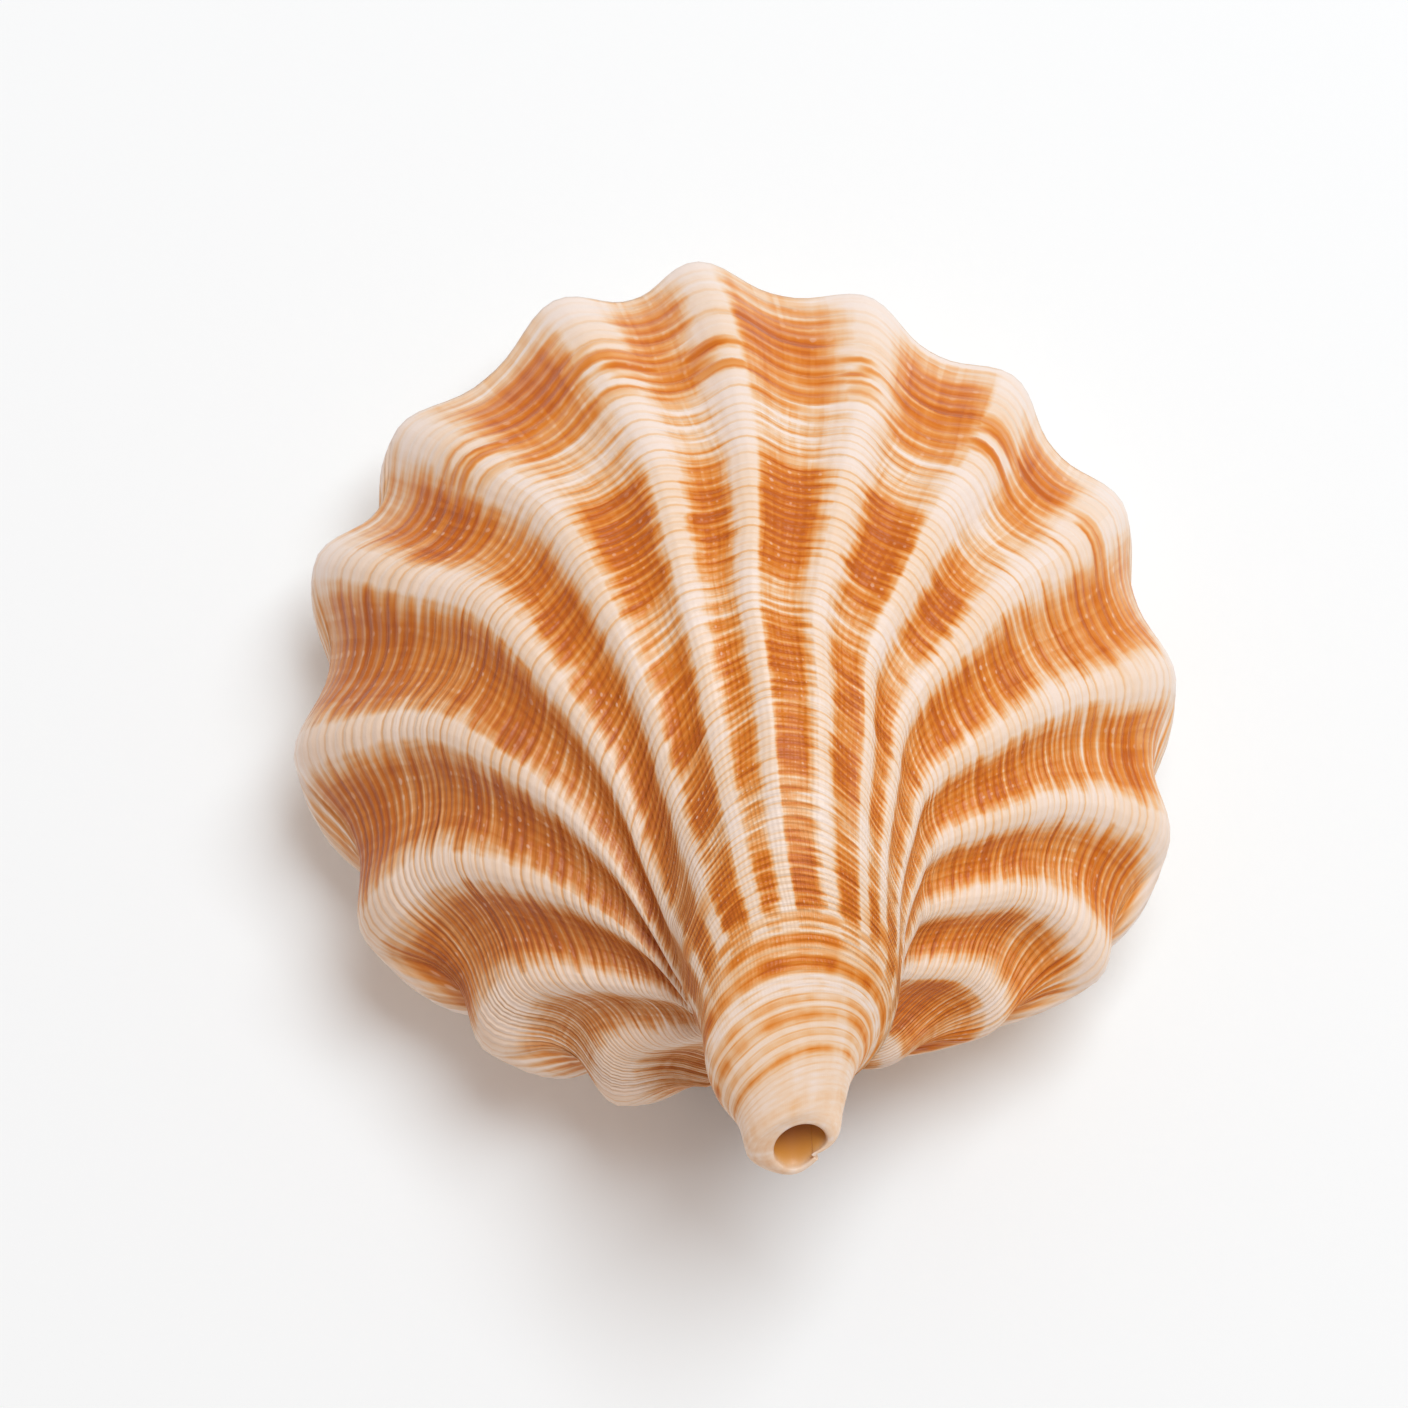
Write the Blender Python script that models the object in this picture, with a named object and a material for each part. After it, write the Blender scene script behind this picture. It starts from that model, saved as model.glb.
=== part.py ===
"""Saffron fan whelk shell, one grown piece: a ribbed, fan-like body with a short snout.

Lengths below are in millimetres and angles in degrees; the mesh is scaled to metres once.
The shell lies on its flat spire, its fan up, its snout towards -Y.
"""
import bpy
import bmesh
import numpy as np

NAME = "shell"
MM = 0.001

# The fan is lofted through oval rings, from the snout's tip to the shoulder. Each ring has
# a level (0 at the tip, 1 at the shoulder's back), its middle in plan, half its width, half its
# length in plan, the heights of its back and of its front, the turn of its long axis about Z, and
# how far its widest place lies towards the back.
RINGS = (
    # level  mid x  mid y   half w  half l  back z  front z  turn  lean
    (0.000, 4.3, -45.7, 4.8, 1.0, 33.2, 26.8, 24, 0.00),
    (0.062, 4.35, -42.8, 5.8, 2.2, 35.0, 27.2, 27, 0.00),
    (0.136, 4.0, -39.6, 7.6, 3.9, 36.6, 27.8, 22, 0.00),
    (0.235, 4.5, -35.2, 8.8, 6.8, 38.2, 28.0, 10, -0.04),
    (0.333, 4.1, -30.9, 9.7, 9.2, 39.3, 27.5, 3, -0.10),
    (0.432, 3.8, -26.4, 10.3, 12.0, 39.5, 26.2, 0, -0.14),
    (0.531, 3.2, -21.8, 12.1, 15.1, 38.7, 24.2, 0, -0.13),
    (0.630, 1.2, -17.8, 16.3, 19.6, 36.8, 21.8, 0, -0.05),
    (0.728, 0.3, -13.5, 24.4, 24.5, 33.8, 19.0, 0, -0.05),
    (0.827, 0.1, -9.4, 31.0, 30.0, 29.7, 16.2, 0, -0.05),
    (0.901, 0.0, -5.7, 36.8, 34.2, 25.0, 13.8, 0, -0.04),
    (0.951, -0.1, -1.8, 40.4, 36.9, 20.3, 10.8, 0, -0.05),
    (1.000, -0.7, 2.4, 42.4, 39.8, 13.5, 5.0, 0, 0.00),
)
FRONT_SHOULDER_DROP = 0.111   # the shoulder ends at a lower level in front than at the back

# Angles of the ribs' crests: 0 is the back, 90 the right side. At the waist the ribs of the left
# flank swing round towards the snout, and on the shoulder all of them spread to the front.
RIBS_AT_WAIST = (-160, -146, -132, -116, -96, -67, -39, -10, 19, 45, 64, 82, 98, 115, 132, 152, 176)
RIBS_AT_MIDDLE = (-155, -134, -110, -87, -65, -43, -21, -1, 20, 40, 58, 78, 95, 112, 130, 151, 175)
RIBS_AT_SHOULDER = (-163, -145, -125, -100, -73, -51, -24, -5, 18, 41, 64, 89, 112, 131, 147, 161, 177)
RIB_COUNT = len(RIBS_AT_MIDDLE)
WAIST_SHARE = ((0.0, 0.25, 0.36, 0.45, 0.53, 0.60, 0.66, 1.0), (0.3, 0.4, 0.75, 1.0, 0.85, 0.3, 0.0, 0.0))
SHOULDER_SHARE = ((0.0, 0.72, 0.80, 0.89, 0.95, 1.0, 2.0), (0.0, 0.0, 0.1, 0.36, 0.66, 1.0, 1.0))
# Height of the ribs by level, and by angle as a share of that: the lobes of the left flank stand
# higher, and right of the snout they are low
RIB_RELIEF = ((0.0, 0.22, 0.40, 0.55, 0.70, 0.82, 0.92, 1.0), (0.0, 0.0, 0.3, 0.7, 1.3, 1.9, 2.5, 2.6))
LOBE_RELIEF = (
    (-180, 1.25), (-130, 1.38), (-80, 1.40), (-45, 1.12), (0, 1.00), (60, 0.95), (100, 0.95),
    (125, 0.95), (142, 0.55), (180, 0.40),
)
RIB_TROUGH = 0.42             # share of the relief that lies below the plain oval
CREST_SHARPNESS = 1.25        # above 1 the crests are narrower than the troughs
BASE_FADE = (1.15, 1.50)      # places on the base between which the ribs die out
MOUTH_FADE = (160, 176)       # angles between which the ribs sink, next to the mouth
MOUTH_SINK = 0.8              # share of their height that they lose there
# How far the shoulder reaches at an angle, as a share of its plain oval: the front lobes stand
# out, and right of the snout the edge draws back.
SHOULDER_REACH = (
    (-197, 0.912), (-180, 0.945), (-163, 1.020), (-145, 1.024), (-125, 1.010), (-101, 0.992),
    (-76, 0.975), (-51, 0.962), (-24, 1.000), (-4, 1.014), (18, 0.970), (41, 0.960), (64, 0.965),
    (89, 0.980), (112, 1.018), (131, 1.054), (147, 0.988), (163, 0.912), (180, 0.945), (197, 1.020),
)
REACH_GROWS = (0.78, 0.97)    # levels between which the reach comes in

# Under the shoulder the shell turns in to a flat spire: (step, radius share, height share, height)
BASE_PROFILE = (
    (0.00, 1.000, 1.00, 0.0),
    (0.09, 0.988, 0.86, 0.0),
    (0.18, 0.961, 0.68, 0.0),
    (0.28, 0.918, 0.46, 0.0),
    (0.38, 0.859, 0.26, 0.2),
    (0.48, 0.783, 0.11, 0.5),
    (0.58, 0.692, 0.03, 0.8),
    (0.68, 0.590, 0.00, 1.2),
    (0.80, 0.410, 0.00, 2.0),
    (0.91, 0.200, 0.00, 3.2),
    (1.00, 0.000, 0.00, 4.0),
)
SPIRE_MIDDLE = (0.0, 4.0)     # the spire's apex lies a little behind the middle
WHORL_SHRINK = 0.52           # each earlier whorl is this share of the next one's radius
WHORL_STEP = 2.4              # height of the spiral step at the widest whorl
WHORL_RISE = 0.3              # share of a turn over which the step rises
SPIRE_REACH = (0.45, 0.62, 0.85)   # the step is full from the first radius share to the second
APEX_SHARE = 0.02             # radius share below which the spiral winds no further

WALL = 1.9                    # wall of the body
SNOUT_WALL = 2.3              # wall near the snout's tip
SNOUT_ENDS = (0.25, 0.50)     # places between which the snout passes into the body
HOLE = (4.85, -47.3, 30.2)    # middle of the hole in the tip
HOLE_HALF = (2.5, 2.3)
HOLE_TURN = 34.0              # turn of the hole's long axis about Z
HOLE_TILT = 44.0              # slope of the hole's rim, facing up and forward
HOLE_ASIDE = 0.5              # share of the slope that also faces aside
# Rings about the hole, each with its growth from the hole's oval and its depth in the snout: those
# of the rim, and those of the hollow where it comes out of the tip
RIM_RINGS = ((-0.6, 1.2), (0.25, -0.1), (1.3, 0.1))
HOLLOW_RINGS = ((0.6, -4.0), (0.0, -0.6), (-0.2, 1.0))

# The canal is a narrow slit from the tip's right side, along the underside of the snout, to the
# mouth: level from the tip, angle of its middle, half its width
CANAL = (
    (0.00, 128, 0.50),
    (0.06, 131, 0.40),
    (0.12, 138, 0.50),
    (0.18, 146, 0.60),
    (0.24, 154, 0.60),
)
CANAL_DEPTH = 2.9
CANAL_RIM = 0.8               # growth of the hole's oval on which the slit starts
CANAL_AHEAD = 4.0             # length of its cutter in front of the rim
# The mouth is the wide slot below it, down the front and under the shoulder: level from the tip
# (past 1 on the base), angle of its middle, half its width, depth of its cutter
MOUTH = (
    (0.24, 164, 1.4, 3.0),
    (0.33, 168, 2.3, 3.4),
    (0.44, 171, 3.1, 4.0),
    (0.56, 173, 3.8, 4.5),
    (0.70, 176, 4.6, 4.5),
    (0.86, 178, 5.0, 4.5),
    (1.00, 178, 5.3, 4.5),
    (1.20, 177, 6.8, 4.5),
    (1.42, 178, 7.8, 4.5),
    (1.58, 180, 6.2, 4.5),
    (1.68, 183, 3.2, 4.5),
)
MOUTH_REACH = 2.0             # the cutters stand this far out of the shell

ORIGIN = (-0.67, -2.76, -0.46)   # the middle of the shell's box, on the floor

BODY_LEVELS = (0.0, 0.05, 0.10, 0.16, 0.21, 0.27, 0.33, 0.39, 0.45, 0.51, 0.56, 0.61, 0.66,
               0.71, 0.76, 0.81, 0.855, 0.895, 0.93, 0.96, 0.985)
BASE_STEPS = (0.0, 0.09, 0.19, 0.30, 0.41, 0.52, 0.62, 0.72, 0.82, 0.92)
COLUMNS_PER_RIB = 6
HOLLOW_LEVELS = (0.06, 0.12, 0.20, 0.30, 0.40, 0.50, 0.60, 0.70, 0.79, 0.87, 0.94)
HOLLOW_STEPS = (0.06, 0.20, 0.34, 0.50, 0.66, 0.80, 0.92)
HOLLOW_COLUMNS = 40
MOUTH_RINGS = 20


def curve_through(x, knots, values):
    """Smooth curve through (knots, values), without overshoot beyond the end knots."""
    knots = np.asarray(knots, float)
    values = np.asarray(values, float)
    slope = np.gradient(values, knots)
    x = np.clip(x, knots[0], knots[-1])
    i = np.clip(np.searchsorted(knots, x, side="right") - 1, 0, len(knots) - 2)
    gap = knots[i + 1] - knots[i]
    t = (x - knots[i]) / gap
    near = values[i] * (1 + 2 * t) * (1 - t) ** 2 + slope[i] * gap * t * (1 - t) ** 2
    far = values[i + 1] * t * t * (3 - 2 * t) + slope[i + 1] * gap * t * t * (t - 1)
    return near + far


def ease(x, low, high):
    t = np.clip((x - low) / (high - low), 0, 1)
    return t * t * (3 - 2 * t)


def ring_point(angle, level):
    """Point of the smooth fan, before any rib, at an angle (radians) and a level."""
    angle, level = np.broadcast_arrays(np.asarray(angle, float), np.asarray(level, float))
    table = np.array(RINGS)
    mid_x, mid_y, half_w, half_l, back_z, front_z, turn, lean = (
        curve_through(level, table[:, 0], table[:, k]) for k in range(1, 9))
    turn = np.radians(turn)
    around = angle + turn
    along = np.cos(around)
    angles, reach = np.array(SHOULDER_REACH).T
    bulge = curve_through(np.degrees(np.angle(np.exp(1j * angle))), angles, reach)
    bulge = 1 + (bulge - 1) * ease(level, *REACH_GROWS)
    side = half_w * np.sin(around) * (1 + lean * along) * bulge
    half_l = half_l * bulge
    x = mid_x - half_l * along * np.sin(turn) + side * np.cos(turn)
    y = mid_y + half_l * along * np.cos(turn) + side * np.sin(turn)
    z = (back_z + front_z) / 2 + (back_z - front_z) / 2 * along
    return np.stack([x, y, z], -1)


def shoulder_level(angle):
    return 1 - FRONT_SHOULDER_DROP * ((1 - np.cos(angle)) / 2) ** 3


def base_point(angle, step):
    """Point under the shoulder: step 0 is the shoulder's edge and 1 the spire's apex."""
    edge = ring_point(angle, shoulder_level(angle))
    steps, radius, share, height = np.array(BASE_PROFILE).T
    r = curve_through(step, steps, radius)
    x = SPIRE_MIDDLE[0] * (1 - r) + edge[..., 0] * r
    y = SPIRE_MIDDLE[1] * (1 - r) + edge[..., 1] * r
    z = edge[..., 2] * curve_through(step, steps, share) + curve_through(step, steps, height)
    # earlier whorls stand in a spiral step round the apex
    whorl = np.log(np.maximum(r, APEX_SHARE)) / np.log(WHORL_SHRINK) - angle / (2 * np.pi)
    phase = whorl - np.floor(whorl)
    ridge = np.where(phase < WHORL_RISE, phase / WHORL_RISE, (1 - phase) / (1 - WHORL_RISE))
    full, fading, gone = SPIRE_REACH
    z = z - WHORL_STEP * (ridge - WHORL_RISE) * ease(r, 0.0, full) * (1 - ease(r, fading, gone))
    return np.stack([x, y, z], -1)


def smooth_point(angle, place):
    """Point of the smooth shell: place runs from 0 (tip) to 1 (shoulder) to 2 (apex)."""
    angle, place = np.broadcast_arrays(np.asarray(angle, float), np.asarray(place, float))
    body = ring_point(angle, np.minimum(place, 1) * shoulder_level(angle))
    base = base_point(angle, np.maximum(place - 1, 0))
    return np.where((place < 1)[..., None], body, base)


def outward(angle, place):
    """Outward normal of the smooth shell."""
    da, dp = 0.004, 0.004
    low = np.clip(place - dp, 0, 2 - 4 * dp)
    around = smooth_point(angle + da, place) - smooth_point(angle - da, place)
    along = smooth_point(angle, low + 2 * dp) - smooth_point(angle, low)
    normal = np.cross(around, along)
    return normal / np.maximum(np.linalg.norm(normal, axis=-1, keepdims=True), 1e-9)


def crest_angle(phase, crests):
    """Angle in degrees of a rib phase on one ring, whose crests are whole phases."""
    crests = np.array(crests, float)
    knots = np.arange(-2, RIB_COUNT + 2)
    return curve_through(phase, knots, np.concatenate([crests[-2:] - 360, crests, crests[:2] + 360]))


def rib_angle(phase, place):
    """Angle of a rib phase (whole numbers are crests) at a place along the shell."""
    middle = crest_angle(phase, RIBS_AT_MIDDLE)
    waist = crest_angle(phase, RIBS_AT_WAIST) - middle
    shoulder = crest_angle(phase, RIBS_AT_SHOULDER) - middle
    waist_share = curve_through(place, WAIST_SHARE[0], WAIST_SHARE[1])
    shoulder_share = curve_through(place, SHOULDER_SHARE[0], SHOULDER_SHARE[1])
    angle = middle + waist * waist_share + shoulder * shoulder_share
    return np.radians((angle + 180) % 360 - 180)


def rib_height(angle, place):
    """Height of the ribs, lower towards the snout and on the base, and next to the mouth."""
    turned = np.degrees(np.angle(np.exp(1j * angle)))
    angles, share = np.array(LOBE_RELIEF).T
    height = curve_through(np.minimum(place, 1), RIB_RELIEF[0], RIB_RELIEF[1])
    height = height * curve_through(turned, angles, share)
    on_base = ease(place, *BASE_FADE)
    at_mouth = ease(np.abs(turned), *MOUTH_FADE)
    return height * (1 - on_base) * (1 - MOUTH_SINK * at_mouth)


def ribbed_point(phase, place):
    """Point of the outer surface with its ribs and knobs."""
    angle = rib_angle(phase, place)
    wave = (0.5 + 0.5 * np.cos(2 * np.pi * phase)) ** CREST_SHARPNESS - RIB_TROUGH
    raised = (wave * rib_height(angle, place))[..., None]
    return smooth_point(angle, place) + outward(angle, place) * raised


def inner_point(angle, place):
    """Point of the hollow: the wall is measured from the troughs between the ribs."""
    outer = smooth_point(angle, place)
    inset = WALL + RIB_TROUGH * rib_height(angle, place)
    body = outer - outward(angle, place) * inset[..., None]
    middle = outer.mean(axis=0)
    radius = np.linalg.norm(outer - middle, axis=-1, keepdims=True)
    snout = middle + (outer - middle) * (1 - SNOUT_WALL / radius)
    share = ease(place, *SNOUT_ENDS)[..., None]
    return snout * (1 - share) + body * share


def hole_ring(angle, size, depth):
    """Oval ring about the hole: size scales it, depth sinks it into the snout."""
    turn, tilt = np.radians(HOLE_TURN), np.radians(HOLE_TILT)
    long_axis = np.array([np.cos(turn), np.sin(turn), 0.0])
    facing = np.array([np.sin(tilt) * np.sin(turn) * HOLE_ASIDE, -np.sin(tilt), np.cos(tilt)])
    facing = facing / np.linalg.norm(facing)
    short_axis = np.cross(facing, long_axis)
    short_axis = short_axis / np.linalg.norm(short_axis)
    long_axis = np.cross(short_axis, facing)
    around = angle + turn
    across = (np.sin(around) * (HOLE_HALF[0] + size))[..., None] * long_axis
    upward = (np.cos(around) * (HOLE_HALF[1] + size))[..., None] * short_axis
    return np.array(HOLE) + across + upward - facing * depth


def loft(name, rings, start, end):
    """Closed mesh through rings of equal count, with a point closing each end."""
    mesh = bpy.data.meshes.new(name)
    work = bmesh.new()
    rows = [[work.verts.new(point * MM) for point in ring] for ring in rings]
    for near, far in zip(rows, rows[1:]):
        for j in range(len(near)):
            k = (j + 1) % len(near)
            work.faces.new((near[j], near[k], far[k], far[j]))
    for row, tip in ((rows[0], start), (rows[-1], end)):
        pole = work.verts.new(np.asarray(tip) * MM)
        for j in range(len(row)):
            k = (j + 1) % len(row)
            work.faces.new((row[k], row[j], pole) if row is rows[0] else (row[j], row[k], pole))
    bmesh.ops.triangulate(work, faces=work.faces)
    bmesh.ops.recalc_face_normals(work, faces=work.faces)
    work.to_mesh(mesh)
    work.free()
    return mesh


def outer_form():
    phases = np.arange(RIB_COUNT * COLUMNS_PER_RIB) / COLUMNS_PER_RIB
    tip_angles = rib_angle(phases, 0.0)
    rings = [hole_ring(tip_angles, growth, depth) for growth, depth in RIM_RINGS]
    rings[-1] = (rings[-1] + smooth_point(tip_angles, 0.0)) / 2
    for level in BODY_LEVELS:
        rings.append(ribbed_point(phases, np.full_like(phases, level)))
    for step in BASE_STEPS:
        rings.append(ribbed_point(phases, np.full_like(phases, 1 + step)))
    start = np.mean(rings[0], axis=0)
    end = smooth_point(0.0, 2.0)
    return loft(NAME, [ring - ORIGIN for ring in rings], start - ORIGIN, end - ORIGIN)


def hollow_form():
    """The hollow: the smooth shell set in by its wall, from outside the hole to the base."""
    angles = np.linspace(-np.pi, np.pi, HOLLOW_COLUMNS, endpoint=False)
    rings = [hole_ring(angles, growth, depth) for growth, depth in HOLLOW_RINGS]
    for place in (*HOLLOW_LEVELS, *(1 + step for step in HOLLOW_STEPS)):
        rings.append(inner_point(angles, np.full_like(angles, place)))
    start = np.mean(rings[0], axis=0)
    end = smooth_point(0.0, 2.0) + (0, 0, WALL)
    return loft("hollow", [ring - ORIGIN for ring in rings], start - ORIGIN, end - ORIGIN)


def bar(name, points, across, facing, half, depth):
    """Eight-sided bar along the points: half as wide as given to each side, sunk to its depth."""
    corners = [(np.cos(a) / np.cos(np.pi / 8), np.sin(a)) for a in np.radians(np.arange(22.5, 360, 45))]
    rings = []
    for c, s, n, w, d in zip(points, across, facing, half, depth):
        rings.append(np.array([c + s * w * a + n * b * (MOUTH_REACH if b > 0 else d) for a, b in corners]))
    return loft(name, [ring - ORIGIN for ring in rings], points[0] - ORIGIN, points[-1] - ORIGIN)


def away_from_middle(point, place):
    """Direction from the middle of the shell's ring at a place to a point on it."""
    around = np.linspace(0, 2 * np.pi, 24, endpoint=False)[:, None]
    radial = point - smooth_point(around, place).mean(axis=0)
    return radial / np.linalg.norm(radial, axis=-1, keepdims=True)


def canal_form():
    """The canal's cutter: a straight-sided bar, through the hole's rim and out in front of it."""
    place, middle, half = np.array(CANAL).T
    angle = np.radians(middle)
    point = smooth_point(angle, place)
    facing = away_from_middle(point, place).mean(axis=0)
    across = np.cross(point[-1] - point[0], facing)
    across = across / np.linalg.norm(across)
    facing = facing / np.linalg.norm(facing)
    rim = [hole_ring(angle[0], CANAL_RIM, -ahead) for ahead in (CANAL_AHEAD, 0.0)]
    point = np.concatenate([rim, point])
    half = np.concatenate([half[:1], half[:1], half])
    count = len(point)
    return bar("canal", point, [across] * count, [facing] * count, half, [CANAL_DEPTH] * count)


def mouth_form():
    """The mouth's cutter: a bar of changing width along the middle of the mouth."""
    knots, middle, half, depth = np.array(MOUTH).T
    place = np.linspace(knots[0], knots[-1], MOUTH_RINGS)
    angle = np.radians(curve_through(place, knots, middle))
    point = smooth_point(angle, place)
    # under the snout the bar points at the snout's middle, lower down it stands square on the wall
    share = ease(place, *SNOUT_ENDS)[:, None]
    facing = away_from_middle(point, place) * (1 - share) + outward(angle, place) * share
    facing = facing / np.linalg.norm(facing, axis=-1, keepdims=True)
    across = smooth_point(angle + 0.02, place) - smooth_point(angle - 0.02, place)
    across = across - facing * np.sum(across * facing, axis=-1, keepdims=True)
    across = across / np.linalg.norm(across, axis=-1, keepdims=True)
    half = curve_through(place, knots, half)
    return bar("mouth", point, across, facing, half, curve_through(place, knots, depth))


def new_collection(name):
    made = bpy.data.collections.new(name)
    bpy.context.scene.collection.children.link(made)
    return made


def porcelain():
    """Glossy natural shell in saffron orange over cream."""
    made = bpy.data.materials.new("saffron_shell")
    made.use_nodes = True
    surface = made.node_tree.nodes["Principled BSDF"]
    surface.inputs["Base Color"].default_value = (0.74, 0.40, 0.19, 1.0)
    surface.inputs["Roughness"].default_value = 0.35
    surface.inputs["Metallic"].default_value = 0.0
    return made


def cut(body, mesh, cutters):
    tool = bpy.data.objects.new(mesh.name, mesh)
    cutters.objects.link(tool)
    tool.hide_render = True
    tool.display_type = "WIRE"
    modifier = body.modifiers.new("cut_" + mesh.name, "BOOLEAN")
    modifier.operation = "DIFFERENCE"
    modifier.solver = "EXACT"
    modifier.object = tool


def main():
    for old in list(bpy.data.objects):
        bpy.data.objects.remove(old, do_unlink=True)
    shell_parts = new_collection("fan_whelk_shell")
    cutters = new_collection("cutters")
    body = bpy.data.objects.new(NAME, outer_form())
    shell_parts.objects.link(body)
    body.data.materials.append(porcelain())
    body.data.shade_smooth()
    cut(body, hollow_form(), cutters)
    cut(body, canal_form(), cutters)
    cut(body, mouth_form(), cutters)


main()
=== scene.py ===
import bpy
import functools
import math
import numpy as np
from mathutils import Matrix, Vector


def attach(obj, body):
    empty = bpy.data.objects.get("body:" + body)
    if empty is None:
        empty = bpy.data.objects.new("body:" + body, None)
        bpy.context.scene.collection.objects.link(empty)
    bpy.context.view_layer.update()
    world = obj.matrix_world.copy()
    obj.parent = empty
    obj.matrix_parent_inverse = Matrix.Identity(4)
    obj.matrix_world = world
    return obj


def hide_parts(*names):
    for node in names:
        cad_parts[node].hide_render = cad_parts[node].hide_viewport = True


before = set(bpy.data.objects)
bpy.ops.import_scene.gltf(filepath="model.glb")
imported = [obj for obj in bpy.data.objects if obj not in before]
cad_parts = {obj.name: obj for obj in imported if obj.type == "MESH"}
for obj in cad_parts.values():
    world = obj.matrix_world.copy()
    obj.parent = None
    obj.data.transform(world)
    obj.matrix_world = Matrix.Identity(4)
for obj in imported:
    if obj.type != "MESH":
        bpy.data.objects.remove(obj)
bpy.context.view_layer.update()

mm = 0.001


# helpers for colours, nodes and curves

def linearColour(code):
    # sRGB hex to the linear values that Blender works in
    parts = [int(code[i:i + 2], 16) / 255 for i in (1, 3, 5)]
    return tuple(c / 12.92 if c <= 0.04045 else ((c + 0.055) / 1.055) ** 2.4 for c in parts) + (1.0,)


def addNode(tree, kind, inputs=(), stops=None, out=0, blend="LINEAR", **settings):
    # one node with its settings, values and links; gives back one of its outputs
    node = tree.nodes.new("ShaderNode" + kind)
    for name, value in settings.items():
        setattr(node, name, value)
    if stops:                      # a colour ramp: place, and a hex colour, a grey or three shares
        ramp = node.color_ramp
        ramp.interpolation = blend
        colours = []
        for place, value in stops:
            if isinstance(value, str):
                colours.append(linearColour(value))
            else:
                shares = value if isinstance(value, tuple) else (value, value, value)
                colours.append(shares + (1.0,))
        ramp.elements[0].position = stops[0][0]
        ramp.elements[1].position = stops[-1][0]
        ramp.elements[0].color = colours[0]
        ramp.elements[1].color = colours[-1]
        for stop, colour in list(zip(stops, colours))[1:-1]:
            ramp.elements.new(stop[0]).color = colour
    # inputs are given in their order, or by name or number
    for key, value in inputs.items() if isinstance(inputs, dict) else enumerate(inputs):
        if isinstance(value, bpy.types.NodeSocket):
            tree.links.new(value, node.inputs[key])
        else:
            node.inputs[key].default_value = value
    return node.outputs[out]


def curveThrough(x, knots, values):
    # smooth curve through the values, flat beyond its ends
    knots, values = np.asarray(knots, float), np.asarray(values, float)
    slope = np.gradient(values, knots, axis=0)
    x = np.clip(np.asarray(x, float), knots[0], knots[-1])
    i = np.clip(np.searchsorted(knots, x, side="right") - 1, 0, len(knots) - 2)
    gap = knots[i + 1] - knots[i]
    t = (x - knots[i]) / gap
    t, gap = (a.reshape(a.shape + (1,) * (values.ndim - 1)) for a in (t, gap))
    near = values[i] * (1 + 2 * t) * (1 - t) ** 2 + slope[i] * gap * t * (1 - t) ** 2
    far = values[i + 1] * t * t * (3 - 2 * t) + slope[i + 1] * gap * t * t * (t - 1)
    return near + far


def ease(x, low, high):
    # 0 below low, 1 above high, smooth between
    t = np.clip((x - low) / (high - low), 0, 1)
    return t * t * (3 - 2 * t)


def unit(rows):
    return rows / np.maximum(np.linalg.norm(rows, axis=-1, keepdims=True), 1e-9)


def inDegrees(angle):
    # from -180 to 180, however often the angle has gone round
    return np.degrees(np.angle(np.exp(1j * angle)))


# camera: a long lens, high in front of the snout

camera = {
    "aim": (-3.13, 1.76, 12.46),   # mm, the point in the middle of the picture
    "elevation": 74.0,             # degrees above the table
    "lens": 105.0,                 # mm
    "sensor": 36.0,                # mm
    "distance": 396.3,             # mm
    "clipStart": 0.01,             # m
}


def makeCamera():
    data = bpy.data.cameras.new("lookDown")
    data.lens = camera["lens"]
    data.sensor_width = camera["sensor"]
    data.clip_start = camera["clipStart"]
    item = bpy.data.objects.new("lookDown", data)
    bpy.context.scene.collection.objects.link(item)
    up = math.radians(camera["elevation"])
    aim = np.array(camera["aim"]) * mm
    item.location = aim + np.array([0, -math.cos(up), math.sin(up)]) * camera["distance"] * mm
    item.rotation_euler = (math.pi / 2 - up, 0, 0)
    bpy.context.scene.camera = item
    bpy.context.scene.view_settings.view_transform = "Standard"   # so that hex colours show as written


makeCamera()
print("camera done")


# the shell's form, in mm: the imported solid's surface, with finer rows and with its cords

# An angle runs from 0 on the back to 180 either way under the snout. A place runs from 0 at the tip
# to 1 at the shoulder and 2 at the spire's apex. A level is the share of the longest way from the tip
# to the shoulder, which is the one over the back.

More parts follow.
